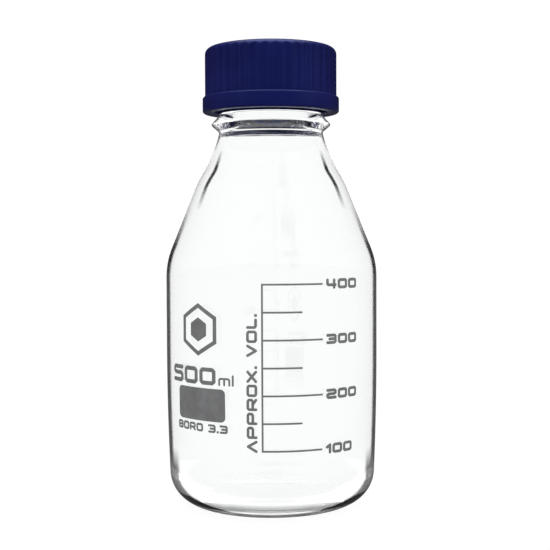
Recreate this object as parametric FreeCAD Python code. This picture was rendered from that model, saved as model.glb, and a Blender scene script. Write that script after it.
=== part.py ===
import FreeCAD, Part
import math
import os

from FreeCAD import Vector

# A borosilicate laboratory bottle with a moulded thread finish, a pouring ring, a ribbed screw cap with
# its sealing disc, and a fired enamel print on the front. Millimetres, +Z up, origin on the axis at the
# plane the bottle stands on. The print faces -Y.

# ---- body of the bottle
BODY_DIAMETER = 85.0
BOTTLE_HEIGHT = 179.0            # standing plane to glass rim
WALL = 3.3
FLOOR = 5.3
HEEL_RADIUS = 13.4
HEEL_TAPER_RADIUS = 1110.0       # the lower wall draws in along one very large arc
HEEL_TAPER_ANGLE = 2.5
INNER_HEEL_RADIUS = 11.0
PUNT_HEIGHT = 2.6                # the underside is domed inside its contact circle
CONTACT_FLAT = 2.0               # width of the ring that the bottle stands on
CONTACT_ROUND = 2.0              # rounding from that ring into the dome

# ---- shoulder, as turns of its outline away from the vertical wall
SHOULDER_START_RADIUS = 32.0
SHOULDER_FLANK_ANGLE = 22.0
SHOULDER_KNEE_RADIUS = 45.0
SHOULDER_KNEE_ANGLE = 9.0
NECK_SWEEP_RADIUS = 58.0
NECK_SWEEP_ANGLE = 17.0

# ---- inside of the shoulder, which ends in a ledge below the bore of the neck
INNER_SWEEP_RADIUS = 42.0
INNER_SWEEP_ANGLE = 22.3
LEDGE_FILLET = 1.2
LEDGE_HEADING = 160.0
LEDGE_ROUND = 2.0

# ---- neck finish
NECK_DIAMETER = 41.4             # root of the moulded thread
NECK_WALL = 4.5
GROOVE_STAND = 0.3               # waist below the collar, over the root of the thread
COLLAR_STAND = 3.25              # tip of the collar, over the root of the thread
COLLAR_LOWER_HEADING = 40.0
COLLAR_UPPER_HEADING = 132.0
COLLAR_TIP_ROUND = 0.6
COLLAR_FILLET = 1.4
FINISH_HEIGHT = 22.0             # end of the collar to glass rim
RING_SEAT_HEIGHT = 4.6           # stepped rim that takes the pouring ring
RING_SEAT_STEP = 1.3
RIM_BEAD_HEIGHT = 1.8
RIM_BEAD_STAND = 0.4
RIM_ROUND = 0.7

# ---- thread, one moulded ridge on the glass and one in the cap
THREAD_PITCH = 4.0
THREAD_TURNS = 1.75
THREAD_HEIGHT = 1.55
THREAD_ROOT_WIDTH = 2.4
THREAD_CREST_WIDTH = 1.1
THREAD_BELOW_SEAT = 1.6          # ridge centre at its upper end, below the ring seat
THREAD_EMBED = 0.3               # depth that a ridge runs into its wall, so that the two fuse
CAP_THREAD_ROOT_WIDTH = 1.9
CAP_THREAD_CREST_WIDTH = 0.8
CREST_CLEARANCE = 0.55           # glass crest to cap bore
ROOT_CLEARANCE = 0.45            # cap crest to glass neck

# ---- pouring ring
RING_LIP = 1.2
RING_WALL = 0.7
RING_FIT = 0.05                  # running clearance of the ring on the stepped rim
RING_HOOK = 0.3
RING_DRIP_EDGE = 0.3

# ---- sealing disc and cap
SEAL_THICKNESS = 1.2
SEAL_CLEARANCE = 0.35
CAP_TOP = 2.0
CAP_WALL = 3.75                  # cap bore to the outside of its ribs, at the top
CAP_DRAFT = 0.12                 # growth in radius from the top of the ribs to the band
CAP_EDGE_ROUND = 2.8
CAP_RECESS = 0.4                 # shallow dish in the top
CAP_RECESS_MARGIN = 6.0
BAND_HEIGHT = 6.5
BAND_STAND = 0.85
BAND_CHAMFER = 0.6
BORE_CHAMFER = 0.9
CAP_GAP = 0.3                    # end of the collar to the lower edge of the cap
RIB_COUNT = 40
FLUTE_DEPTH = 0.38
FLUTE_RADIUS = 3.2

# ---- print
ENAMEL = 0.1
LINE_WIDTH = 0.7
SCALE_AZIMUTH = -4.8             # vertical line of the scale, degrees from -Y towards +X
LONG_MARK = 23.3                 # lengths and offsets of the print are measured round the glass
SHORT_MARK = 15.1
SCALE_STEPS = 4
FILL_HALVINGS = 18               # how finely the fill heights are found
VOLUME_ROUNDING = 50             # the scale step is a whole number of these, in ml
# each line of characters: height, how wide they are drawn, and width of a stroke over the height
NUMERALS = (3.9, 1.36, 0.29)
LEGEND = (4.1, 1.23, 0.25)
CAPACITY = (6.6, 1.28, 0.24)
UNIT = (4.3, 1.0, 0.18)
GLASS_TYPE = (3.2, 1.15, 0.26)
NUMERAL_GAP = 2.1
LEGEND_GAP = 1.9
PANEL_WIDTH = 24.1
PANEL_HEIGHT = 12.5
PANEL_ROUND = 1.9
PANEL_ABOVE_MARK = 2.0           # upper edge of the panel above the middle mark of the scale
BLOCK_OFFSET = 26.8              # middle of the printed block, left of the scale line
CAPACITY_OFFSET = 42.8           # left end of the capacity, left of the scale line
CAPACITY_GAP = 1.3
UNIT_GAP = 2.4
TYPE_GAP = 1.0
EMBLEM_GAP = 4.2
EMBLEM_HEIGHT = 20.0
EMBLEM_LINE = 1.8

# ---- derived
body_radius = BODY_DIAMETER / 2
inner_radius = body_radius - WALL
neck_radius = NECK_DIAMETER / 2
mouth_radius = neck_radius - NECK_WALL
collar_radius = neck_radius + COLLAR_STAND
seat_radius = neck_radius - RING_SEAT_STEP
bead_radius = seat_radius + RIM_BEAD_STAND
collar_end = BOTTLE_HEIGHT - FINISH_HEIGHT
seat_bottom = BOTTLE_HEIGHT - RING_SEAT_HEIGHT
thread_end = seat_bottom - THREAD_BELOW_SEAT
thread_start = thread_end - THREAD_TURNS * THREAD_PITCH
cap_bore = neck_radius + THREAD_HEIGHT + CREST_CLEARANCE
cap_crest = neck_radius + ROOT_CLEARANCE
cap_bottom = collar_end + CAP_GAP
ring_top = BOTTLE_HEIGHT + RING_LIP
seal_top = ring_top + SEAL_THICKNESS
cap_top = seal_top + CAP_TOP
AXIS = Vector(0, 0, 1)
ORIGIN = Vector(0, 0, 0)


class Outline:
    """A chain of tangent lines and arcs in the half plane X >= 0, drawn by moving and turning."""

    def __init__(self, r, z, heading):
        self.r = r
        self.z = z
        self.heading = heading
        self.edges = []

    def point(self):
        return Vector(self.r, 0, self.z)

    def line_to(self, r, z):
        start = self.point()
        self.r = r
        self.z = z
        if start.distanceToPoint(self.point()) > 1e-7:
            self.edges.append(Part.makeLine(start, self.point()))

    def line(self, length):
        a = math.radians(self.heading)
        self.line_to(self.r + length * math.cos(a), self.z + length * math.sin(a))

    def arc(self, radius, turn):
        """Turn left for a positive angle in degrees, right for a negative one."""
        start = self.point()
        side = math.copysign(90, turn)
        normal = math.radians(self.heading + side)
        centre = Vector(self.r + radius * math.cos(normal), 0, self.z + radius * math.sin(normal))
        for share in (0.5, 1.0):
            a = math.radians(self.heading + share * turn - side)
            end = centre + Vector(radius * math.cos(a), 0, radius * math.sin(a))
            if share == 0.5:
                middle = end
        self.edges.append(Part.Arc(start, middle, end).toShape())
        self.r = end.x
        self.z = end.z
        self.heading += turn

    def line_then_arc(self, target_r, radius, turn):
        """Draw a line as long as it takes for the arc after it to end at target_r."""
        a = math.radians(self.heading)
        b = math.radians(self.heading + turn)
        growth = math.copysign(radius, turn) * (math.sin(b) - math.sin(a))
        self.line((target_r - self.r - growth) / math.cos(a))
        self.arc(radius, turn)

    def revolve(self):
        """Close the outline and turn it about the axis into a solid."""
        first = self.edges[0].Vertexes[0].Point
        self.line_to(first.x, first.z)
        face = Part.Face(Part.Wire(self.edges))
        return face.revolve(ORIGIN, AXIS, 360)


def base_angle(dome_end):
    """Slope that the dome under the base reaches where it runs out at dome_end."""
    return 2 * math.degrees(math.atan(PUNT_HEIGHT / dome_end))


def draw_shoulder(path, inward, flank):
    """The part of the shoulder that the two faces of the wall share, a given distance inside the outer one."""
    path.arc(SHOULDER_START_RADIUS - inward, SHOULDER_FLANK_ANGLE)
    path.line(flank)
    path.arc(SHOULDER_KNEE_RADIUS - inward, SHOULDER_KNEE_ANGLE)


def flank_length():
    """Length of the straight flank that brings the shoulder in to the groove below the collar."""
    trial = Outline(body_radius, 0, 90)
    draw_shoulder(trial, 0, 0)
    trial.arc(NECK_SWEEP_RADIUS, -NECK_SWEEP_ANGLE)
    return (trial.r - neck_radius - GROOVE_STAND) / math.sin(math.radians(SHOULDER_FLANK_ANGLE))


def draw_outside(straight, grow=0.0):
    """Outer face from the axis under the base to the end of the collar; grow offsets it outwards."""
    contact = body_radius - HEEL_RADIUS * math.sin(math.radians(90 - HEEL_TAPER_ANGLE))
    contact -= HEEL_TAPER_RADIUS * (1 - math.cos(math.radians(HEEL_TAPER_ANGLE)))
    dome_end = contact - CONTACT_FLAT
    dome = base_angle(dome_end)
    path = Outline(0, PUNT_HEIGHT - grow, 0)
    path.arc(dome_end / math.sin(math.radians(dome)) - CONTACT_ROUND - grow, -dome)
    path.arc(CONTACT_ROUND + grow, dome)
    path.line(CONTACT_FLAT)
    path.arc(HEEL_RADIUS + grow, 90 - HEEL_TAPER_ANGLE)
    path.arc(HEEL_TAPER_RADIUS + grow, HEEL_TAPER_ANGLE)
    path.line(straight)
    draw_shoulder(path, -grow, flank_length())
    path.arc(NECK_SWEEP_RADIUS - grow, -NECK_SWEEP_ANGLE)
    path.arc(COLLAR_FILLET - grow, COLLAR_LOWER_HEADING - path.heading)
    path.line_then_arc(collar_radius + grow, COLLAR_TIP_ROUND + grow, 90 - COLLAR_LOWER_HEADING)
    path.arc(COLLAR_TIP_ROUND + grow, COLLAR_UPPER_HEADING - 90)
    path.line_then_arc(neck_radius + grow, COLLAR_FILLET - grow, 90 - COLLAR_UPPER_HEADING)
    return path


# the straight wall takes up whatever height the rest leaves
straight_wall = collar_end - draw_outside(1.0).z + 1.0
shoulder_z = draw_outside(straight_wall).edges[5].Vertexes[1].Z


def cavity_solid():
    """The space inside the bottle, from the floor to the rim."""
    dome_end = body_radius - HEEL_RADIUS - CONTACT_FLAT
    floor_radius = dome_end / math.sin(math.radians(base_angle(dome_end))) + FLOOR
    turn = math.degrees(math.asin((inner_radius - INNER_HEEL_RADIUS) / (floor_radius + INNER_HEEL_RADIUS)))
    path = Outline(0, PUNT_HEIGHT + FLOOR, 0)
    path.arc(floor_radius, -turn)
    path.arc(INNER_HEEL_RADIUS, 90 + turn)
    path.line(shoulder_z - path.z)
    draw_shoulder(path, WALL, flank_length())
    path.arc(INNER_SWEEP_RADIUS, -INNER_SWEEP_ANGLE)
    path.arc(LEDGE_FILLET, LEDGE_HEADING - path.heading)
    path.line_then_arc(mouth_radius, LEDGE_ROUND, 90 - LEDGE_HEADING)
    path.line(BOTTLE_HEIGHT - path.z)
    path.line_to(0, BOTTLE_HEIGHT)
    return path.revolve()


def outer_form(grow=0.0):
    """The outer shape filled to the axis, up to the end of the collar."""
    path = draw_outside(straight_wall, grow)
    path.line_to(0, path.z)
    return path.revolve()


def ridge(inner_r, outer_r, inner_width, outer_width, bottom, turns):
    """A thread ridge: a trapezoid swept along a right-hand helix."""
    helix = Part.makeHelix(THREAD_PITCH, turns * THREAD_PITCH, (inner_r + outer_r) / 2)
    corners = [
        Vector(inner_r, 0, -inner_width / 2),
        Vector(outer_r, 0, -outer_width / 2),
        Vector(outer_r, 0, outer_width / 2),
        Vector(inner_r, 0, inner_width / 2),
    ]
    profile = Part.makePolygon(corners + corners[:1])
    solid = Part.Wire(helix).makePipeShell([profile], True, True)
    solid.translate(Vector(0, 0, bottom))
    return solid


def glass_bottle():
    path = draw_outside(straight_wall)
    path.line(seat_bottom - RING_SEAT_STEP - path.z)
    path.line_to(seat_radius, seat_bottom)
    path.line_to(seat_radius, BOTTLE_HEIGHT - RIM_BEAD_HEIGHT - RIM_BEAD_STAND)
    path.line_to(bead_radius, BOTTLE_HEIGHT - RIM_BEAD_HEIGHT)
    path.heading = 90
    path.line(RIM_BEAD_HEIGHT - RIM_ROUND)
    path.arc(RIM_ROUND, 90)
    path.line_to(mouth_radius + RIM_ROUND, BOTTLE_HEIGHT)
    path.arc(RIM_ROUND, 90)
    path.line_to(0, path.z)
    body = path.revolve()
    thread = ridge(
        neck_radius - THREAD_EMBED,
        neck_radius + THREAD_HEIGHT,
        THREAD_ROOT_WIDTH,
        THREAD_CREST_WIDTH,
        thread_start,
        THREAD_TURNS,
    )
    return body.cut(cavity_solid()).fuse(thread)


def pour_ring():
    inside = bead_radius + RING_FIT
    outside = inside + RING_WALL
    hook = inside - RING_HOOK
    bead_foot = BOTTLE_HEIGHT - RIM_BEAD_HEIGHT - RIM_BEAD_STAND
    path = Outline(mouth_radius + RIM_ROUND, BOTTLE_HEIGHT, 0)
    path.line_to(inside, BOTTLE_HEIGHT)
    path.line_to(inside, BOTTLE_HEIGHT - RIM_BEAD_HEIGHT)
    path.line_to(hook, bead_foot)
    path.line_to(hook, seat_bottom + RING_FIT + RING_HOOK)
    path.line_to(inside, seat_bottom + RING_FIT)
    path.line_to(outside, seat_bottom + RING_FIT)
    path.line_to(outside, ring_top - RING_LIP / 2)
    path.line_to(outside + RING_DRIP_EDGE, ring_top)
    path.line_to(mouth_radius + RIM_ROUND + RING_LIP / 2, ring_top)
    path.line_to(mouth_radius + RIM_ROUND, ring_top - RING_LIP / 2)
    return path.revolve()


def cap_seal():
    radius = cap_bore - SEAL_CLEARANCE
    return Part.makeCylinder(radius, SEAL_THICKNESS, Vector(0, 0, ring_top))


def screw_cap():
    rib_radius = cap_bore + CAP_WALL
    band_radius = rib_radius + CAP_DRAFT + BAND_STAND
    band_top = cap_bottom + BAND_HEIGHT
    dish_radius = rib_radius - CAP_RECESS_MARGIN
    path = Outline(cap_bore + BORE_CHAMFER, cap_bottom, 0)
    path.line_to(band_radius - BAND_CHAMFER, cap_bottom)
    path.line_to(band_radius, cap_bottom + BAND_CHAMFER)
    path.line_to(band_radius, band_top - BAND_CHAMFER)
    path.line_to(band_radius - BAND_CHAMFER, band_top)
    path.line_to(rib_radius + CAP_DRAFT, band_top)
    path.line_to(rib_radius, cap_top - CAP_EDGE_ROUND)
    path.heading = 90
    path.arc(CAP_EDGE_ROUND, 90)
    path.line_to(dish_radius + CAP_RECESS, cap_top)
    path.line_to(dish_radius, cap_top - CAP_RECESS)
    path.line_to(0, cap_top - CAP_RECESS)
    path.line_to(0, seal_top)
    path.line_to(cap_bore, seal_top)
    path.line_to(cap_bore, cap_bottom + BORE_CHAMFER)
    shell = path.revolve()
    flutes = []
    for i in range(RIB_COUNT):
        centre = Vector(rib_radius + FLUTE_RADIUS - FLUTE_DEPTH, 0, band_top)
        flute = Part.makeCylinder(FLUTE_RADIUS, cap_top - band_top + 1, centre)
        flute.rotate(ORIGIN, AXIS, (i + 0.5) * 360 / RIB_COUNT)
        flutes.append(flute)
    thread = ridge(
        cap_crest,
        cap_bore + THREAD_EMBED,
        CAP_THREAD_CREST_WIDTH,
        CAP_THREAD_ROOT_WIDTH,
        thread_start - THREAD_PITCH / 2,
        THREAD_TURNS,
    )
    return shell.cut(flutes).fuse(thread)


# ---- print: each character is its width and a few strokes, on a grid one unit high
WIDE = 0.95
BOX = [(WIDE / 2, 0), (WIDE, 0), (WIDE, 1), (0, 1), (0, 0), (WIDE / 2, 0)]
BOWL = [(0, 0), (0, 1), (WIDE, 1), (WIDE, 0.4), (0, 0.4)]
GLYPHS = {
    "0": (WIDE, [BOX]),
    "1": (0.35, [[(0, 0.72), (0.35, 1), (0.35, 0)]]),
    "2": (WIDE, [[(0, 1), (WIDE, 1), (WIDE, 0.5), (0, 0.5), (0, 0), (WIDE, 0)]]),
    "3": (WIDE, [[(0, 1), (WIDE, 1), (WIDE, 0), (0, 0)], [(0.25, 0.5), (WIDE, 0.5)]]),
    "4": (WIDE, [[(0, 1), (0, 0.35), (WIDE, 0.35)], [(0.8, 1), (0.8, 0)]]),
    "5": (WIDE, [[(WIDE, 1), (0, 1), (0, 0.55), (WIDE, 0.55), (WIDE, 0), (0, 0)]]),
    "6": (WIDE, [[(WIDE, 1), (0, 1), (0, 0), (WIDE, 0), (WIDE, 0.52), (0, 0.52)]]),
    "7": (WIDE, [[(0, 1), (WIDE, 1), (0.4, 0)]]),
    "8": (WIDE, [BOX, [(0, 0.52), (WIDE, 0.52)]]),
    "9": (WIDE, [[(0, 0), (WIDE, 0), (WIDE, 1), (0, 1), (0, 0.5), (WIDE, 0.5)]]),
    "A": (WIDE, [[(0, 0), (WIDE / 2, 1), (WIDE, 0)]]),
    "B": (WIDE, [BOX, [(0, 0.5), (WIDE, 0.5)]]),
    "L": (0.75, [[(0, 1), (0, 0), (0.75, 0)]]),
    "O": (WIDE, [BOX]),
    "P": (WIDE, [BOWL]),
    "R": (WIDE, [BOWL, [(0.5, 0.4), (WIDE, 0)]]),
    "V": (WIDE, [[(0, 1), (WIDE / 2, 0), (WIDE, 1)]]),
    "X": (WIDE, [[(0, 0), (WIDE, 1)], [(0, 1), (WIDE, 0)]]),
    "l": (0.0, [[(0, 0), (0, 1)]]),
    "m": (1.2, [[(0, 0), (0, 0.66), (1.2, 0.66), (1.2, 0)], [(0.6, 0.66), (0.6, 0)]]),
    ".": (0.0, [[(0, 0)]]),
    " ": (0.3, []),
}
POINTED = "1AV."                 # characters whose bends stay sharp
BEND_CUT = 0.13                  # how much of the grid the other bends are cut back by
STROKE_GAP = 0.15                # clear gap between two characters over their height
PRISM_DEPTH = 6.0


def cut_bends(points):
    """Replace each bend of a stroke by two points a short way before and after it."""
    cut = points[:1]
    for before, bend, after in zip(points, points[1:], points[2:]):
        for other in (before, after):
            share = BEND_CUT / math.dist(bend, other)
            cut.append((bend[0] + share * (other[0] - bend[0]), bend[1] + share * (other[1] - bend[1])))
    return cut + points[-1:]


def square_dot(middle, width):
    """The flat face of a full stop, as wide and as high as a stroke."""
    half = width / 2
    corners = [middle + Vector(x * half, 0, z * half) for x, z in ((-1, -1), (1, -1), (1, 1), (-1, 1))]
    return Part.Face(Part.makePolygon(corners + corners[:1]))


def character_solid(c, style):
    """The thick strokes of a character as one prism, standing in the XZ plane across Y = 0."""
    height, stretch, share = style
    width = share * height
    scale = height - width
    back = -PRISM_DEPTH / 2
    faces = []
    for stroke in GLYPHS[c][1]:
        if c not in POINTED:
            stroke = cut_bends(stroke)
        points = [Vector(x * scale * stretch, back, z * scale + width / 2) for x, z in stroke]
        if len(points) == 1:
            faces.append(square_dot(points[0], width))
            continue
        for point in points:
            faces.append(Part.Face(Part.Wire(Part.makeCircle(width / 2, point, Vector(0, 1, 0)))))
        for start, end in zip(points, points[1:]):
            side = (end - start).cross(Vector(0, 1, 0)).normalize() * (width / 2)
            corners = [start + side, end + side, end - side, start - side]
            faces.append(Part.Face(Part.makePolygon(corners + corners[:1])))
    outline = faces[0]
    if len(faces) > 1:
        outline = faces[0].multiFuse(faces[1:]).removeSplitter()
    return outline.extrude(Vector(0, PRISM_DEPTH, 0))


def character_width(c, style):
    height, stretch, share = style
    return GLYPHS[c][0] * height * (1 - share) * stretch


def advance(c, style):
    return character_width(c, style) + (STROKE_GAP + style[2]) * style[0]


def text_width(text, style):
    return sum(advance(c, style) for c in text) - (STROKE_GAP + style[2]) * style[0]


def round_glass(distance):
    """The angle, in degrees, of a distance measured round the body."""
    return math.degrees(distance / body_radius)


def on_glass(solid, azimuth, z):
    """Stand a solid made at the origin on the front of the body and turn it to its azimuth."""
    placed = solid.copy()
    placed.translate(Vector(0, -body_radius, z))
    placed.rotate(ORIGIN, AXIS, azimuth)
    return placed


def printed(prism):
    """What is left of a prism in the thin layer over the glass."""
    return prism.common(enamel_layer).removeSplitter()


def line_of_text(text, style, azimuth, z):
    """Characters side by side round the glass, the first one starting at the azimuth."""
    glyphs = []
    across = 0.0
    for c in text:
        if c != " ":
            middle = character_width(c, style) / 2
            solid = character_solid(c, style)
            solid.translate(Vector(-middle, 0, 0))
            glyphs.append(printed(on_glass(solid, azimuth + round_glass(across + middle), z)))
        across += advance(c, style)
    return glyphs


def upward_text(text, style, azimuth, z):
    """Characters one above the other, reading upwards, with their feet at the azimuth."""
    glyphs = []
    along = 0.0
    for c in text:
        if c != " ":
            solid = character_solid(c, style)
            solid.translate(Vector(along, 0, 0))
            solid.rotate(ORIGIN, Vector(0, -1, 0), 90)
            glyphs.append(printed(on_glass(solid, azimuth, z)))
        along += advance(c, style)
    return glyphs


def mark_heights(step_volume):
    """Fill height of each half step from the first whole step up, found by halving."""
    heights = []
    for half_steps in range(2, 2 * SCALE_STEPS + 1):
        low = 0.0
        high = shoulder_z
        for _ in range(FILL_HALVINGS):
            middle = (low + high) / 2
            filled = cavity.common(Part.makeCylinder(BODY_DIAMETER, middle)).Volume / 1000
            if filled < half_steps * step_volume / 2:
                low = middle
            else:
                high = middle
        heights.append(high)
    return heights


def scale_lines(heights):
    prisms = []
    for i, z in enumerate(heights):
        sweep = round_glass(SHORT_MARK if i % 2 else LONG_MARK)
        mark = Part.makeCylinder(BODY_DIAMETER, LINE_WIDTH, Vector(0, 0, z - LINE_WIDTH / 2), AXIS, sweep)
        mark.rotate(ORIGIN, AXIS, SCALE_AZIMUTH - 90)
        prisms.append(mark)
    rise = heights[-1] - heights[0] + LINE_WIDTH
    foot = Vector(-LINE_WIDTH / 2, -PRISM_DEPTH / 2, -LINE_WIDTH / 2)
    upright = Part.makeBox(LINE_WIDTH, PRISM_DEPTH, rise, foot)
    prisms.append(on_glass(upright, SCALE_AZIMUTH, heights[0]))
    return [printed(prisms[0].multiFuse(prisms[1:]))]


def scale_numerals(heights, step_volume):
    start = SCALE_AZIMUTH + round_glass(LONG_MARK + NUMERAL_GAP)
    glyphs = []
    for step in range(SCALE_STEPS):
        z = heights[2 * step] - NUMERALS[0] / 2
        glyphs += line_of_text(str((step + 1) * step_volume), NUMERALS, start, z)
    return glyphs


def hexagon(across, depth):
    corners = []
    for i in range(7):
        a = math.radians(60 * i + 90)
        corners.append(Vector(across / 2 * math.cos(a), -depth / 2, across / 2 * math.sin(a)))
    return Part.Face(Part.makePolygon(corners)).extrude(Vector(0, depth, 0))


def emblem(z):
    """A plain hexagon ring round a small solid hexagon."""
    ring = hexagon(EMBLEM_HEIGHT, PRISM_DEPTH * 2)
    ring = ring.cut(hexagon(EMBLEM_HEIGHT - 2 * EMBLEM_LINE, PRISM_DEPTH * 3))
    core = hexagon(EMBLEM_HEIGHT - 6 * EMBLEM_LINE, PRISM_DEPTH * 2)
    return [printed(on_glass(solid, block_azimuth, z + EMBLEM_HEIGHT / 2)) for solid in (ring, core)]


def writing_panel(z):
    foot = Vector(-PANEL_WIDTH / 2, -PRISM_DEPTH, 0)
    plate = Part.makeBox(PANEL_WIDTH, PRISM_DEPTH * 2, PANEL_HEIGHT, foot)
    corners = [e for e in plate.Edges if abs(e.Vertexes[0].Y - e.Vertexes[1].Y) > PRISM_DEPTH]
    return [printed(on_glass(plate.makeFillet(PANEL_ROUND, corners), block_azimuth, z))]


def centred(text, style):
    return block_azimuth - round_glass(text_width(text, style) / 2)


cavity = cavity_solid()
enamel_layer = outer_form(ENAMEL).cut(outer_form())
body_volume = cavity.common(Part.makeCylinder(BODY_DIAMETER, shoulder_z)).Volume / 1000
step_volume = max(1, int(body_volume / SCALE_STEPS / VOLUME_ROUNDING)) * VOLUME_ROUNDING
marks = mark_heights(step_volume)

# the block left of the scale is set out from the middle mark
panel_z = marks[2] + PANEL_ABOVE_MARK - PANEL_HEIGHT
capacity_z = panel_z + PANEL_HEIGHT + CAPACITY_GAP
emblem_z = capacity_z + CAPACITY[0] + EMBLEM_GAP
type_z = panel_z - TYPE_GAP - GLASS_TYPE[0]
capacity = str((SCALE_STEPS + 1) * step_volume)
block_azimuth = SCALE_AZIMUTH - round_glass(BLOCK_OFFSET)
capacity_azimuth = SCALE_AZIMUTH - round_glass(CAPACITY_OFFSET)
unit_azimuth = capacity_azimuth + round_glass(text_width(capacity, CAPACITY) + UNIT_GAP)
legend_azimuth = SCALE_AZIMUTH - round_glass(LEGEND_GAP)

nodes = {
    "glass_bottle": [glass_bottle()],
    "pour_ring": [pour_ring()],
    "cap_seal": [cap_seal()],
    "screw_cap": [screw_cap()],
    "scale_lines": scale_lines(marks),
    "scale_numerals": scale_numerals(marks, step_volume),
    "scale_legend": upward_text("APPROX. VOL.", LEGEND, legend_azimuth, marks[0]),
    "capacity_mark": line_of_text(capacity, CAPACITY, capacity_azimuth, capacity_z)
    + line_of_text("ml", UNIT, unit_azimuth, capacity_z),
    "writing_panel": writing_panel(panel_z),
    "glass_type_mark": line_of_text("BORO 3.3", GLASS_TYPE, centred("BORO 3.3", GLASS_TYPE), type_z),
    "emblem": emblem(emblem_z),
}

os.makedirs("parts", exist_ok=True)
for name, shapes in nodes.items():
    solids = [solid for shape in shapes for solid in shape.Solids]
    shape = solids[0] if len(solids) == 1 else Part.makeCompound(solids)
    shape.exportStep("parts/" + name + ".step")
    print(name, len(solids), "solids", round(shape.Volume, 2), "mm3", "valid" if shape.isValid() else "INVALID")

print("fill heights", [round(z, 2) for z in marks], "step", step_volume, "ml, body holds", round(body_volume))
print("brim volume", round(cavity.Volume / 1000), "ml, straight wall", round(straight_wall, 2))
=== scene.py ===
import math

import bmesh
import bpy
from mathutils import Euler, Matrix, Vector


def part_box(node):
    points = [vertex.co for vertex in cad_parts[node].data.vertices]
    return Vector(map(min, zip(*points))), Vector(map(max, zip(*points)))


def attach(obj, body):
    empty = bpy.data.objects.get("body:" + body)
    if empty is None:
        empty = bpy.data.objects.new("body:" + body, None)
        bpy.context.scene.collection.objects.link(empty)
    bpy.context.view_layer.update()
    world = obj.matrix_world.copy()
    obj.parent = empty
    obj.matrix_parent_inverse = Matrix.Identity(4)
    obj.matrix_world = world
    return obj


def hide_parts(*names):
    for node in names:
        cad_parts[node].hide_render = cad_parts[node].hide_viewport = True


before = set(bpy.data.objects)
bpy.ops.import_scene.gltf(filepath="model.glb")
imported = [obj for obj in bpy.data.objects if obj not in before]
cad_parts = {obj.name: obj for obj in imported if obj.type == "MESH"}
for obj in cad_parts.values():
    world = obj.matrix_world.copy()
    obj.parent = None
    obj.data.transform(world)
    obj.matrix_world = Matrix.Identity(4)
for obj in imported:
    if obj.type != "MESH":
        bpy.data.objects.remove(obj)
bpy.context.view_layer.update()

# A clear laboratory bottle with a blue screw cap, a pouring ring, a sealing disc and a grey fired print.
# Lengths are in metres and angles in degrees, unless a note says otherwise. The axes are the frame's own:
# +Z up, and the print faces -Y.

mm = 0.001
fullTurn = 2 * math.pi
onSurface = 0.01 * mm        # closer than this counts as lying on a wall
mergeDistance = 0.001 * mm
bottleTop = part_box("glass_bottle")[1].z
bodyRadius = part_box("glass_bottle")[1].x
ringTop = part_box("pour_ring")[1].z
sealLow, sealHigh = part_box("cap_seal")
capLow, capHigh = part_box("screw_cap")


# outlines, drawn in the half plane x > 0 by moving and turning

class Outline:
    def __init__(self, r, z, heading):
        self.r, self.z, self.heading = r, z, heading
        self.points = [(r, z)]

    def lineTo(self, r, z, spacing=1.0):
        pieces = math.ceil(math.hypot(r - self.r, z - self.z) / spacing)
        for i in range(1, pieces + 1):
            share = i / pieces
            self.points.append((self.r + (r - self.r) * share, self.z + (z - self.z) * share))
        self.r, self.z = r, z

    def line(self, length, spacing=1.0):
        a = math.radians(self.heading)
        self.lineTo(self.r + length * math.cos(a), self.z + length * math.sin(a), spacing)

    def arc(self, radius, turn, step=4):
        side = math.copysign(90, turn)
        normal = math.radians(self.heading + side)
        centreR = self.r + radius * math.cos(normal)
        centreZ = self.z + radius * math.sin(normal)
        pieces = max(2, math.ceil(abs(turn) / step))
        for i in range(1, pieces + 1):
            a = math.radians(self.heading - side + turn * i / pieces)
            self.points.append((centreR + radius * math.cos(a), centreZ + radius * math.sin(a)))
        self.r, self.z = self.points[-1]
        self.heading += turn

    def lineThenArc(self, targetR, radius, turn):  # the line is as long as the arc after it needs
        a = math.radians(self.heading)
        b = math.radians(self.heading + turn)
        growth = math.copysign(radius, turn) * (math.sin(b) - math.sin(a))
        self.line((targetR - self.r - growth) / math.cos(a))
        self.arc(radius, turn)


def wire(points, closed):
    bm = bmesh.new()
    path = [bm.verts.new((r, 0, z)) for r, z in points]
    for a, b in zip(path, path[1:]):
        bm.edges.new((a, b))
    if closed:
        bm.edges.new((path[-1], path[0]))
    return bm, path


def roundCorner(bm, corner, size, segments=4):
    bmesh.ops.bevel(
        bm, geom=[corner], offset=size, offset_type="OFFSET", segments=segments,
        profile=0.5, affect="VERTICES", clamp_overlap=True, material=-1,
    )


def divideWall(bm, radius, spacing):  # more rows on an upright wall, for what is moulded on it
    walls = [e for e in bm.edges if all(abs(v.co.x - radius) < onSurface for v in e.verts)]
    for wall in walls:
        bmesh.ops.subdivide_edges(bm, edges=[wall], cuts=int(wall.calc_length() / spacing))


def spinRound(bm, steps):
    bmesh.ops.spin(
        bm, geom=bm.verts[:] + bm.edges[:], cent=(0, 0, 0), axis=(0, 0, 1), dvec=(0, 0, 0),
        angle=fullTurn, steps=steps, use_merge=True, use_duplicate=False,
    )
    bmesh.ops.remove_doubles(bm, verts=bm.verts[:], dist=mergeDistance)
    bmesh.ops.recalc_face_normals(bm, faces=bm.faces[:])


def finished(name, bm, material, body, node, sharpAngle):
    mesh = bpy.data.meshes.new(name)
    bm.to_mesh(mesh)
    bm.free()
    mesh.materials.append(material)
    mesh.shade_smooth()
    mesh.set_sharp_from_angle(angle=math.radians(sharpAngle))
    piece = bpy.data.objects.new(name, mesh)
    bpy.context.scene.collection.objects.link(piece)
    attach(piece, body)
    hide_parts(node)
    print(name, len(mesh.polygons), "faces")
    return piece


def smoothStep(t):
    t = min(1, max(0, t))
    return t * t * (3 - 2 * t)


# the screw thread, shared by the neck and the cap

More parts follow.
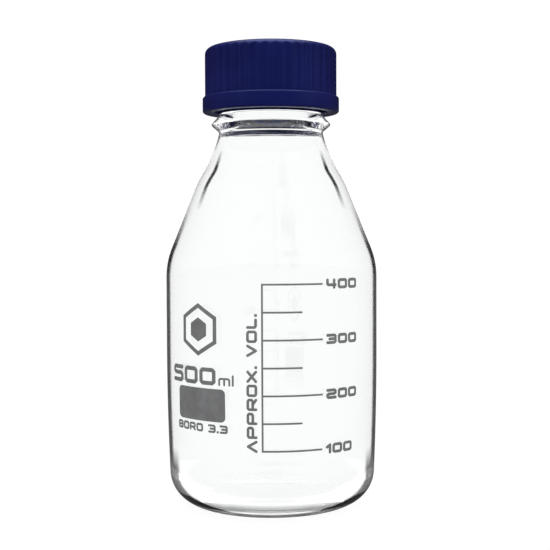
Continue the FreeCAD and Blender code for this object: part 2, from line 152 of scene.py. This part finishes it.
thread = {
    "pitch": 4 * mm,
    "turns": 1.75,
    "belowSeat": 1.6 * mm,       # middle of the upper end, below the seat of the ring
    "height": 1.55 * mm,
    "neckRoot": 2.4 * mm,        # widths of the ridge at its foot and along its crest
    "neckCrest": 1.1 * mm,
    "capRoot": 1.9 * mm,
    "capCrest": 0.8 * mm,
    "fade": 0.5,                 # angle over which each end runs out, in radians
}


def ridgeShare(angle, z, start, rootWidth, crestWidth):  # how high the ridge stands there, 0 to 1
    sweep = thread["turns"] * fullTurn
    highest = 0
    for lap in range(3):
        along = angle % fullTurn + lap * fullTurn
        if along > sweep:
            break
        off = abs(z - start - thread["pitch"] * along / fullTurn)
        share = smoothStep((rootWidth / 2 - off) / ((rootWidth - crestWidth) / 2))
        share *= smoothStep(along / thread["fade"]) * smoothStep((sweep - along) / thread["fade"])
        highest = max(highest, share)
    return highest


def mouldThread(bm, wallRadius, height, start, rootWidth, crestWidth):  # height < 0 stands inwards
    for v in bm.verts:
        if abs(math.hypot(v.co.x, v.co.y) - wallRadius) < onSurface:
            share = ridgeShare(math.atan2(v.co.y, v.co.x), v.co.z, start, rootWidth, crestWidth)
            v.co.xy *= 1 + share * height / wallRadius


# node helpers for the materials

def newMaterial(name):
    material = bpy.data.materials.new(name)
    material.use_nodes = True
    tree = material.node_tree
    shader = tree.nodes["Principled BSDF"]
    return material, tree, shader


def addNode(tree, kind, **values):
    node = tree.nodes.new(kind)
    for key, value in values.items():
        if key in node.inputs:
            node.inputs[key].default_value = value
        else:
            setattr(node, key, value)
    return node


surface = {
    "bumpDistance": 0.04 * mm,
    "toneStops": (0.3, 0.7),     # the share of the noise that runs from dark to light
    "glassIndex": 1.473,
    "plasticIndex": 1.49,
}


def moulding():  # fine grain of a moulded or fired surface, with broad soft changes of tone
    group = bpy.data.node_groups.new("mouldedGrain", "ShaderNodeTree")
    for name, value in (("Grain Scale", 2500.0), ("Tone Scale", 60.0), ("Grain Depth", 0.1)):
        socket = group.interface.new_socket(name=name, in_out="INPUT", socket_type="NodeSocketFloat")
        socket.default_value = value
    group.interface.new_socket(name="Tone", in_out="OUTPUT", socket_type="NodeSocketFloat")
    group.interface.new_socket(name="Grain", in_out="OUTPUT", socket_type="NodeSocketFloat")
    group.interface.new_socket(name="Normal", in_out="OUTPUT", socket_type="NodeSocketVector")
    links = group.links
    entry = group.nodes.new("NodeGroupInput")
    out = group.nodes.new("NodeGroupOutput")
    place = group.nodes.new("ShaderNodeTexCoord")
    grain = addNode(group, "ShaderNodeTexNoise", Detail=4.0, Roughness=0.6)
    tone = addNode(group, "ShaderNodeTexNoise", Detail=3.0, Roughness=0.5)
    bump = addNode(group, "ShaderNodeBump", Distance=surface["bumpDistance"])
    links.new(place.outputs["Object"], grain.inputs["Vector"])
    links.new(place.outputs["Object"], tone.inputs["Vector"])
    links.new(entry.outputs["Grain Scale"], grain.inputs["Scale"])
    links.new(entry.outputs["Tone Scale"], tone.inputs["Scale"])
    links.new(entry.outputs["Grain Depth"], bump.inputs["Strength"])
    links.new(grain.outputs["Fac"], bump.inputs["Height"])
    links.new(tone.outputs["Fac"], out.inputs["Tone"])
    links.new(grain.outputs["Fac"], out.inputs["Grain"])
    links.new(bump.outputs["Normal"], out.inputs["Normal"])
    return group


grainGroup = moulding()


def grained(tree, shader, look):  # colour, roughness and normal from the shared grain
    grain = addNode(tree, "ShaderNodeGroup", node_tree=grainGroup)
    grain.inputs["Grain Scale"].default_value = look["grainScale"]
    grain.inputs["Tone Scale"].default_value = look["toneScale"]
    grain.inputs["Grain Depth"].default_value = look["grainDepth"]
    colours = addNode(tree, "ShaderNodeValToRGB")
    tones = (look["dark"], look["light"])
    for step, share, tone in zip(colours.color_ramp.elements, surface["toneStops"], tones):
        step.position = share
        step.color = (*tone, 1)
    rough = addNode(tree, "ShaderNodeMapRange")
    rough.inputs["To Min"].default_value = look["roughness"][0]
    rough.inputs["To Max"].default_value = look["roughness"][1]
    tree.links.new(grain.outputs["Tone"], colours.inputs["Fac"])
    tree.links.new(grain.outputs["Grain"], rough.inputs["Value"])
    tree.links.new(colours.outputs["Color"], shader.inputs["Base Color"])
    tree.links.new(rough.outputs["Result"], shader.inputs["Roughness"])
    tree.links.new(grain.outputs["Normal"], shader.inputs["Normal"])


# the glass bottle

bottle = {
    "wall": 3.3 * mm,
    "floor": 5.3 * mm,
    "heelRadius": 13.4 * mm,
    "taperRadius": 1110 * mm,    # the lower wall draws in along one very large arc
    "taperAngle": 2.5,
    "innerHeelRadius": 11 * mm,
    "puntHeight": 2.6 * mm,
    "contactFlat": 2 * mm,
    "contactRound": 2 * mm,
    "shoulderStart": (32 * mm, 22),      # radius and turn, in degrees
    "shoulderKnee": (45 * mm, 9),
    "neckSweep": (58 * mm, 17),
    "innerSweep": (42 * mm, 22.3),
    "ledgeFillet": 1.2 * mm,     # inside, a ledge leads from the shoulder to the bore of the neck
    "ledgeHeading": 160,
    "ledgeRound": 2 * mm,
    "neckRadius": 20.7 * mm,
    "neckWall": 4.5 * mm,
    "grooveStand": 0.3 * mm,
    "collarStand": 3.25 * mm,
    "collarHeadings": (40, 132),
    "collarTipRound": 0.6 * mm,
    "collarFillet": 1.4 * mm,
    "finishHeight": 22 * mm,
    "seatHeight": 4.6 * mm,
    "seatStep": 1.3 * mm,
    "beadHeight": 1.8 * mm,
    "beadStand": 0.4 * mm,
    "rimRound": 0.7 * mm,
    "printBed": 0.02 * mm,       # the fired print is let into the glass by this much
    "threadRows": 0.25 * mm,
    "steps": 224,
    "clearTint": (0.985, 0.992, 0.992),
    "bounces": 12,               # light that has not come out by then counts as white
    # painted shade in the base colour: dark lines along the edges that stand in for dark reflections at
    # grazing views, and a dark band low on the heel; how grazing the view is and how dark it makes the
    # line, both 0 to 1, and then the heights in mm between which the line fades in and out again
    "paintedShadeLines": (
        (((0.58, 0), (0.64, 0.80), (0.82, 0.86), (0.95, 0.96)), (-2, -1, 17, 25)),
        (((0.71, 0), (0.77, 0.93), (0.90, 0.96), (1.00, 0.96)), (17, 25, 104, 120)),
        (((0.50, 0), (0.53, 0.95), (0.57, 0.95), (0.60, 0)), (118, 128, 135, 142)),
        (((0.00, 0.66), (1.00, 0.66)), (3.2, 3.9, 5.3, 7.4)),
        (((0.68, 0), (0.80, 0.80), (0.95, 0.90), (1.00, 0.90)), (141, 147, 190, 191)),
    ),
}
seatBottom = bottleTop - bottle["seatHeight"]
mouthRadius = bottle["neckRadius"] - bottle["neckWall"]
threadStart = seatBottom - thread["belowSeat"] - thread["turns"] * thread["pitch"]


def baseAngle(domeEnd):  # slope of the dome under the base where it runs out
    return 2 * math.degrees(math.atan(bottle["puntHeight"] / domeEnd))


def shoulder(path, inward, flank):
    radius, turn = bottle["shoulderStart"]
    path.arc(radius - inward, turn, step=1.5)
    path.line(flank, spacing=2 * mm)
    radius, turn = bottle["shoulderKnee"]
    path.arc(radius - inward, turn, step=1.5)


def flankLength():
    trial = Outline(bodyRadius, 0, 90)
    shoulder(trial, 0, 0)
    radius, turn = bottle["neckSweep"]
    trial.arc(radius, -turn)
    groove = bottle["neckRadius"] + bottle["grooveStand"]
    return (trial.r - groove) / math.sin(math.radians(bottle["shoulderStart"][1]))


def outerFace(straight, grow=0):  # from the axis under the base to the root of the thread
    contact = bodyRadius - bottle["heelRadius"] * math.cos(math.radians(bottle["taperAngle"]))
    contact -= bottle["taperRadius"] * (1 - math.cos(math.radians(bottle["taperAngle"])))
    domeEnd = contact - bottle["contactFlat"]
    dome = baseAngle(domeEnd)
    path = Outline(0, bottle["puntHeight"], 0)
    path.arc(domeEnd / math.sin(math.radians(dome)) - bottle["contactRound"], -dome, step=0.8)
    path.arc(bottle["contactRound"], dome)
    path.line(bottle["contactFlat"])
    path.arc(bottle["heelRadius"] + grow, 90 - bottle["taperAngle"], step=3)
    path.arc(bottle["taperRadius"] + grow, bottle["taperAngle"], step=0.1)
    wallFoot = path.z
    path.line(straight, spacing=3 * mm)
    shoulder(path, -grow, flankLength())
    radius, turn = bottle["neckSweep"]
    path.arc(radius - grow, -turn, step=1)
    low, high = bottle["collarHeadings"]
    fillet = bottle["collarFillet"]
    tip = bottle["collarTipRound"]
    path.arc(fillet - grow, low - path.heading, step=8)
    path.lineThenArc(bottle["neckRadius"] + bottle["collarStand"] + grow, tip + grow, 90 - low)
    path.arc(tip + grow, high - 90, step=8)
    path.lineThenArc(bottle["neckRadius"], fillet, 90 - high)
    return path, wallFoot


def bottleOutline():
    collarEnd = bottleTop - bottle["finishHeight"]
    trial, wallFoot = outerFace(mm)
    straight = collarEnd - trial.z + mm
    path, wallFoot = outerFace(straight, bottle["printBed"])
    seat = bottle["neckRadius"] - bottle["seatStep"]
    bead = seat + bottle["beadStand"]
    beadFoot = bottleTop - bottle["beadHeight"]
    path.lineTo(bottle["neckRadius"], seatBottom - bottle["seatStep"], bottle["threadRows"])
    path.lineTo(seat, seatBottom)
    path.lineTo(seat, beadFoot - bottle["beadStand"])
    path.lineTo(bead, beadFoot)
    path.lineTo(bead, bottleTop - bottle["rimRound"])
    path.heading = 90
    path.arc(bottle["rimRound"], 90, step=15)
    path.lineTo(mouthRadius + bottle["rimRound"], bottleTop)
    path.arc(bottle["rimRound"], 90, step=15)

    # the cavity, drawn from the middle of the floor up, then joined on from the rim down
    domeEnd = bodyRadius - bottle["heelRadius"] - bottle["contactFlat"]
    floorRadius = domeEnd / math.sin(math.radians(baseAngle(domeEnd))) + bottle["floor"]
    heel = bottle["innerHeelRadius"]
    reach = bodyRadius - bottle["wall"] - heel
    turn = math.degrees(math.asin(reach / (floorRadius + heel)))
    inside = Outline(0, bottle["puntHeight"] + bottle["floor"], 0)
    inside.arc(floorRadius, -turn, step=0.8)
    inside.arc(heel, 90 + turn, step=3)
    inside.line(wallFoot + straight - inside.z, spacing=3 * mm)
    shoulder(inside, bottle["wall"], flankLength())
    radius, turn = bottle["innerSweep"]
    inside.arc(radius, -turn, step=1)
    inside.arc(bottle["ledgeFillet"], bottle["ledgeHeading"] - inside.heading, step=10)
    inside.lineThenArc(mouthRadius, bottle["ledgeRound"], 90 - bottle["ledgeHeading"])
    return path.points + inside.points[::-1]


def joinedBy(tree, operation, first, second):
    node = addNode(tree, "ShaderNodeMath", operation=operation)
    tree.links.new(first, node.inputs[0])
    tree.links.new(second, node.inputs[1])
    return node.outputs["Value"]


def paintedShadeLine(tree, facing, height, across, heights):  # how dark one painted shade line is, here on the glass
    ramp = addNode(tree, "ShaderNodeValToRGB")
    steps = ramp.color_ramp.elements
    for share, dark in across[2:]:
        steps.new(share)
    for step, (share, dark) in zip(steps, across):
        step.position = share
        step.color = (dark, dark, dark, 1)
    tree.links.new(facing, ramp.inputs["Fac"])
    line = ramp.outputs["Color"]
    for low, high, ends in ((heights[0], heights[1], (0, 1)), (heights[2], heights[3], (1, 0))):
        fade = addNode(tree, "ShaderNodeMapRange")
        fade.inputs["From Min"].default_value = low * mm
        fade.inputs["From Max"].default_value = high * mm
        fade.inputs["To Min"].default_value = ends[0]
        fade.inputs["To Max"].default_value = ends[1]
        tree.links.new(height, fade.inputs["Value"])
        line = joinedBy(tree, "MULTIPLY", line, fade.outputs["Result"])
    return line


def clearGlass():
    material, tree, shader = newMaterial("clearGlass")
    shader.inputs["Transmission Weight"].default_value = 1.0
    shader.inputs["Roughness"].default_value = 0.0
    shader.inputs["IOR"].default_value = surface["glassIndex"]
    facing = addNode(tree, "ShaderNodeLayerWeight", Blend=0.5)
    ray = addNode(tree, "ShaderNodeLightPath")
    place = addNode(tree, "ShaderNodeTexCoord")
    split = addNode(tree, "ShaderNodeSeparateXYZ")
    tree.links.new(place.outputs["Object"], split.inputs["Vector"])
    # painted shade: the lines summed here darken the glass's base colour, on the first hit only, in place
    # of dark reflections at grazing views
    dark = addNode(tree, "ShaderNodeMath", operation="ADD", use_clamp=True)
    for i, (across, heights) in enumerate(bottle["paintedShadeLines"]):
        line = paintedShadeLine(tree, facing.outputs["Facing"], split.outputs["Z"], across, heights)
        if i < 2:
            tree.links.new(line, dark.inputs[i])
            continue
        total = addNode(tree, "ShaderNodeMath", operation="ADD", use_clamp=True)
        tree.links.new(dark.outputs["Value"], total.inputs[0])
        tree.links.new(line, total.inputs[1])
        dark = total
    seen = joinedBy(tree, "MULTIPLY", dark.outputs["Value"], ray.outputs["Is Camera Ray"])
    through = addNode(tree, "ShaderNodeMath", operation="SUBTRACT")
    through.inputs[0].default_value = 1
    tree.links.new(seen, through.inputs[1])
    squared = joinedBy(tree, "MULTIPLY", through.outputs["Value"], through.outputs["Value"])
    tint = addNode(tree, "ShaderNodeValToRGB")
    tint.color_ramp.elements[1].color = (*bottle["clearTint"], 1)
    tree.links.new(squared, tint.inputs["Fac"])
    tree.links.new(tint.outputs["Color"], shader.inputs["Base Color"])
    # painted light: past the bounce limit the glass itself glows white, though it is no lamp
    late = addNode(tree, "ShaderNodeMath", operation="GREATER_THAN")
    late.inputs[1].default_value = bottle["bounces"] - 0.5
    tree.links.new(ray.outputs["Ray Depth"], late.inputs[0])
    tree.links.new(late.outputs["Value"], shader.inputs["Emission Color"])
    shader.inputs["Emission Strength"].default_value = stage["white"]
    material.cycles.emission_sampling = "NONE"
    return material


def makeBottle():
    bm, path = wire(bottleOutline(), closed=False)
    spinRound(bm, bottle["steps"])
    mouldThread(
        bm, bottle["neckRadius"], thread["height"], threadStart, thread["neckRoot"], thread["neckCrest"],
    )
    return finished("glassBottle", bm, clearGlass(), "bottle", "glass_bottle", sharpAngle=50)


# the pouring ring, snapped over the stepped rim

ring = {
    "lip": 1.2 * mm,
    "wall": 0.7 * mm,
    "fit": 0.05 * mm,
    "hook": 0.3 * mm,
    "dripEdge": 0.3 * mm,
    "edgeRound": 0.12 * mm,
    "steps": 160,
    "dark": (0.010, 0.045, 0.26),
    "light": (0.014, 0.058, 0.31),
    "gloss": 0.5,
    "glossTint": (0.6, 0.75, 1.0),
    "roughness": (0.22, 0.34),
    "grainScale": 1800.0,
    "toneScale": 90.0,
    "grainDepth": 0.12,
}


def bluePlastic(name, look):
    material, tree, shader = newMaterial(name)
    grained(tree, shader, look)
    shader.inputs["IOR"].default_value = surface["plasticIndex"]
    shader.inputs["Specular IOR Level"].default_value = look["gloss"]
    shader.inputs["Specular Tint"].default_value = (*look["glossTint"], 1)
    return material


def makeRing():
    seat = bottle["neckRadius"] - bottle["seatStep"]
    inside = seat + bottle["beadStand"] + ring["fit"]
    outside = inside + ring["wall"]
    hook = inside - ring["hook"]
    mouth = mouthRadius + bottle["rimRound"]
    beadFoot = bottleTop - bottle["beadHeight"]
    foot = seatBottom + ring["fit"]
    corners = [
        (mouth, bottleTop, 0),
        (inside, bottleTop, 0),
        (inside, beadFoot, 0),
        (hook, beadFoot - bottle["beadStand"], 1),
        (hook, foot + ring["hook"], 1),
        (inside, foot, 1),
        (outside, foot, 1),
        (outside, ringTop - ring["lip"] / 2, 0),
        (outside + ring["dripEdge"], ringTop, 1),
        (mouth + ring["lip"] / 2, ringTop, 1),
        (mouth, ringTop - ring["lip"] / 2, 1),
    ]
    bm, path = wire([(r, z) for r, z, rounded in corners], closed=True)
    for vert, (r, z, rounded) in zip(path, corners):
        if rounded:
            roundCorner(bm, vert, ring["edgeRound"])
    spinRound(bm, ring["steps"])
    material = bluePlastic("ringPlastic", ring)
    return finished("pourRing", bm, material, "bottle", "pour_ring", sharpAngle=50)


# the sealing disc under the cap's top

seal = {
    "edgeRound": 0.25 * mm,
    "steps": 128,
    "dark": (0.0040, 0.0060, 0.070),
    "light": (0.0060, 0.0090, 0.095),
    "roughness": (0.5, 0.62),
    "grainScale": 1500.0,
    "toneScale": 50.0,
    "grainDepth": 0.1,
}


def makeSeal():
    radius = sealHigh.x
    corners = [(0, sealLow.z, 0), (radius, sealLow.z, 1), (radius, sealHigh.z, 1), (0, sealHigh.z, 0)]
    bm, path = wire([(r, z) for r, z, rounded in corners], closed=False)
    for vert, (r, z, rounded) in zip(path, corners):
        if rounded:
            roundCorner(bm, vert, seal["edgeRound"])
    spinRound(bm, seal["steps"])
    material, tree, shader = newMaterial("sealDisc")
    grained(tree, shader, seal)
    return finished("sealDisc", bm, material, "seal", "cap_seal", sharpAngle=50)


# the screw cap

cap = {
    "crestClearance": 0.55 * mm,
    "wall": 3.75 * mm,
    "draft": 0.12 * mm,
    "edgeRound": 2.8 * mm,
    "recess": 0.4 * mm,
    "recessMargin": 6 * mm,
    "bandHeight": 6.5 * mm,
    "bandChamfer": 0.6 * mm,
    "boreChamfer": 0.9 * mm,
    "edgeSegments": 10,
    "smallRound": 0.25 * mm,
    "smallSegments": 3,
    "gateRadius": 1.5 * mm,      # the stub that the mould's gate leaves in the middle of the top
    "gateHeight": 0.15 * mm,
    "ribs": 40,
    "fluteDepth": 0.38 * mm,
    "fluteRadius": 3.2 * mm,
    "rows": 0.3 * mm,
    "stepsPerRib": 14,
    "dark": (0.0034, 0.0040, 0.048),
    "light": (0.0050, 0.0060, 0.063),
    "gloss": 0.22,
    "glossTint": (0.2, 0.35, 1.0),
    "roughness": (0.36, 0.48),
    "grainScale": 2600.0,
    "toneScale": 70.0,
    "grainDepth": 0.16,
}
capBore = bottle["neckRadius"] + thread["height"] + cap["crestClearance"]


def cutFlutes(bm, ribRadius, bandTop):  # shallow round flutes leave a narrow rib between each two
    pitch = fullTurn / cap["ribs"]
    backOff = cap["fluteRadius"] - cap["fluteDepth"]
    for v in bm.verts:
        radius = math.hypot(v.co.x, v.co.y)
        if radius < ribRadius - cap["fluteDepth"] or v.co.z < bandTop - onSurface:
            continue
        off = (math.atan2(v.co.y, v.co.x) % pitch - pitch / 2) * ribRadius
        depth = math.sqrt(cap["fluteRadius"] ** 2 - off ** 2) - backOff
        wanted = ribRadius - max(0, depth)
        if wanted < radius:
            v.co.xy *= wanted / radius


def makeCap():
    ribRadius = capBore + cap["wall"]
    bandRadius = capHigh.x
    bandTop = capLow.z + cap["bandHeight"]
    dish = ribRadius - cap["recessMargin"]
    gate = cap["gateRadius"]
    dishZ = capHigh.z - cap["recess"]
    small = cap["smallRound"]
    corners = [
        (capBore, capLow.z + cap["boreChamfer"], small),
        (capBore + cap["boreChamfer"], capLow.z, small),
        (bandRadius - cap["bandChamfer"], capLow.z, small),
        (bandRadius, capLow.z + cap["bandChamfer"], small),
        (bandRadius, bandTop - cap["bandChamfer"], small),
        (bandRadius - cap["bandChamfer"], bandTop, small),
        (ribRadius + cap["draft"], bandTop, 0),
        (ribRadius, capHigh.z, cap["edgeRound"]),
        (dish + cap["recess"], capHigh.z, small),
        (dish, dishZ, small),
        (gate + cap["gateHeight"], dishZ, 0),
        (gate, dishZ + cap["gateHeight"], 0),
        (0, dishZ + cap["gateHeight"], 0),
    ]
    underside = [(0, sealHigh.z, 0), (capBore, sealHigh.z, small)]
    corners = underside + corners
    bm, path = wire([(r, z) for r, z, rounding in corners], closed=False)
    for vert, (r, z, rounding) in zip(path, corners):
        if rounding:
            segments = cap["smallSegments"] if rounding == small else cap["edgeSegments"]
            roundCorner(bm, vert, rounding, segments)
    divideWall(bm, capBore, cap["rows"])
    spinRound(bm, cap["ribs"] * cap["stepsPerRib"])
    cutFlutes(bm, ribRadius, bandTop)
    start = threadStart - thread["pitch"] / 2
    mouldThread(bm, capBore, -thread["height"], start, thread["capRoot"], thread["capCrest"])
    material = bluePlastic("capPlastic", cap)
    return finished("screwCap", bm, material, "cap", "screw_cap", sharpAngle=35)


# the fired print

enamel = {
    "dark": (0.108, 0.109, 0.112),
    "light": (0.146, 0.148, 0.151),
    "roughness": (0.38, 0.58),
    "grainScale": 1600.0,
    "toneScale": 220.0,
    "grainDepth": 0.35,
    "nodes": (
        "scale_lines", "scale_numerals", "scale_legend", "capacity_mark",
        "writing_panel", "glass_type_mark", "emblem",
    ),
}


def firePrint():
    material, tree, shader = newMaterial("firedEnamel")
    grained(tree, shader, enamel)
    for name in enamel["nodes"]:
        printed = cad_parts[name]
        printed.data.materials.clear()
        printed.data.materials.append(material)
    print("fired print on", len(enamel["nodes"]), "nodes")


# floor, light and camera

stage = {
    "floorSize": 6.0,
    "floorSides": 96,
    "floorDrop": 0.02 * mm,      # just under the base, so that the two never share a plane
    "floorColour": (0.10, 0.10, 0.10),
    "floorGlow": 0.93,
    "floorRoughness": 0.9,
    "floorGloss": 0.1,
    "white": 1.05,
    "surround": 0.04,            # what the gloss reflects where no lamp stands
    "lamps": (
        # place, aimed at, width, height, power in watts
        ((0.0, -0.05, 1.0), (0, 0, 0.15), 0.9, 0.9, 17.0),
        ((-0.9, -0.7, 0.45), (0, 0, 0.12), 0.25, 0.9, 1.2),
        ((1.0, -0.5, 0.5), (0, 0, 0.12), 0.25, 0.9, 1.6),
    ),
}


def letLightThrough():  # thick glass needs many inner reflections before the light is out again
    rays = bpy.context.scene.cycles
    rays.max_bounces = bottle["bounces"]
    rays.glossy_bounces = bottle["bounces"]
    rays.transmission_bounces = bottle["bounces"]


def reflectedOnly(tree):  # 1 for what a surface reflects, 0 for what is seen straight or through glass
    ray = addNode(tree, "ShaderNodeLightPath")
    reflected = addNode(tree, "ShaderNodeMath", operation="SUBTRACT", use_clamp=True)
    tree.links.new(ray.outputs["Is Glossy Ray"], reflected.inputs[0])
    tree.links.new(ray.outputs["Is Transmission Ray"], reflected.inputs[1])
    return reflected.outputs["Value"]


def makeFloor():
    bm = bmesh.new()
    bmesh.ops.create_circle(bm, cap_ends=True, segments=stage["floorSides"], radius=stage["floorSize"])
    bmesh.ops.translate(bm, verts=bm.verts[:], vec=(0, 0, -stage["floorDrop"]))
    mesh = bpy.data.meshes.new("floor")
    bm.to_mesh(mesh)
    bm.free()
    material, tree, shader = newMaterial("paleFloor")
    material.cycles.emission_sampling = "NONE"
    shader.inputs["Base Color"].default_value = (*stage["floorColour"], 1)
    shader.inputs["Emission Color"].default_value = (1, 1, 1, 1)
    glow = addNode(tree, "ShaderNodeMapRange")
    glow.inputs["To Min"].default_value = stage["floorGlow"]
    glow.inputs["To Max"].default_value = stage["surround"]
    tree.links.new(reflectedOnly(tree), glow.inputs["Value"])
    tree.links.new(glow.outputs["Result"], shader.inputs["Emission Strength"])
    shader.inputs["Roughness"].default_value = stage["floorRoughness"]
    shader.inputs["Specular IOR Level"].default_value = stage["floorGloss"]
    mesh.materials.append(material)
    floor = bpy.data.objects.new("floor", mesh)
    bpy.context.scene.collection.objects.link(floor)


def makeSky():  # white all round, and dim where gloss looks at it
    world = bpy.data.worlds.new("studio")
    bpy.context.scene.world = world
    world.use_nodes = True
    world.cycles.sampling_method = "NONE"  # an even white sky is found by the rays themselves
    tree = world.node_tree
    white = tree.nodes["Background"]
    white.inputs["Color"].default_value = (1, 1, 1, 1)
    white.inputs["Strength"].default_value = stage["white"]
    dim = addNode(tree, "ShaderNodeBackground", Strength=stage["surround"])
    mix = addNode(tree, "ShaderNodeMixShader")
    tree.links.new(reflectedOnly(tree), mix.inputs["Fac"])
    tree.links.new(white.outputs["Background"], mix.inputs[1])
    tree.links.new(dim.outputs["Background"], mix.inputs[2])
    tree.links.new(mix.outputs["Shader"], tree.nodes["World Output"].inputs["Surface"])


def makeLamps(lit):  # the lamps shine on the opaque pieces only, and the white sky lights the rest
    receivers = bpy.data.collections.new("lampLit")
    for piece in lit:
        receivers.objects.link(piece)
    for i, (place, target, width, height, power) in enumerate(stage["lamps"]):
        light = bpy.data.lights.new("softbox" + str(i + 1), "AREA")
        light.shape = "RECTANGLE"
        light.size = width
        light.size_y = height
        light.energy = power
        lamp = bpy.data.objects.new(light.name, light)
        lamp.location = place
        lamp.rotation_euler = (Vector(target) - Vector(place)).to_track_quat("-Z", "Y").to_euler()
        lamp.light_linking.receiver_collection = receivers
        bpy.context.scene.collection.objects.link(lamp)


camera = {
    "distance": 455 * mm,
    "height": 109.5 * mm,
    "tilt": -2.2,
    "pan": -0.18,
    "roll": -0.22,
    "lens": 73.3,
    "sensor": 36,
    "nearest": 10 * mm,
    "farthest": 50,
}


def makeCamera():
    data = bpy.data.cameras.new("camera")
    data.lens = camera["lens"]
    data.sensor_width = camera["sensor"]
    data.clip_start = camera["nearest"]
    data.clip_end = camera["farthest"]
    eye = bpy.data.objects.new("camera", data)
    eye.location = (0, -camera["distance"], camera["height"])
    aim = Euler((math.radians(90 + camera["tilt"]), 0, math.radians(camera["pan"]))).to_quaternion()
    roll = Euler((0, 0, math.radians(camera["roll"]))).to_quaternion()
    eye.rotation_mode = "QUATERNION"
    eye.rotation_quaternion = aim @ roll
    bpy.context.scene.collection.objects.link(eye)
    bpy.context.scene.camera = eye
    view = bpy.context.scene.view_settings
    view.view_transform = "Standard"
    view.look = "None"


makeCamera()
letLightThrough()
print("camera and light paths set")
makeFloor()
makeSky()
print("floor and sky made")
makeBottle()
opaque = [makeRing(), makeSeal(), makeCap()]
firePrint()
makeLamps(opaque + [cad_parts[name] for name in enamel["nodes"]])
print(len(stage["lamps"]), "lamps placed")
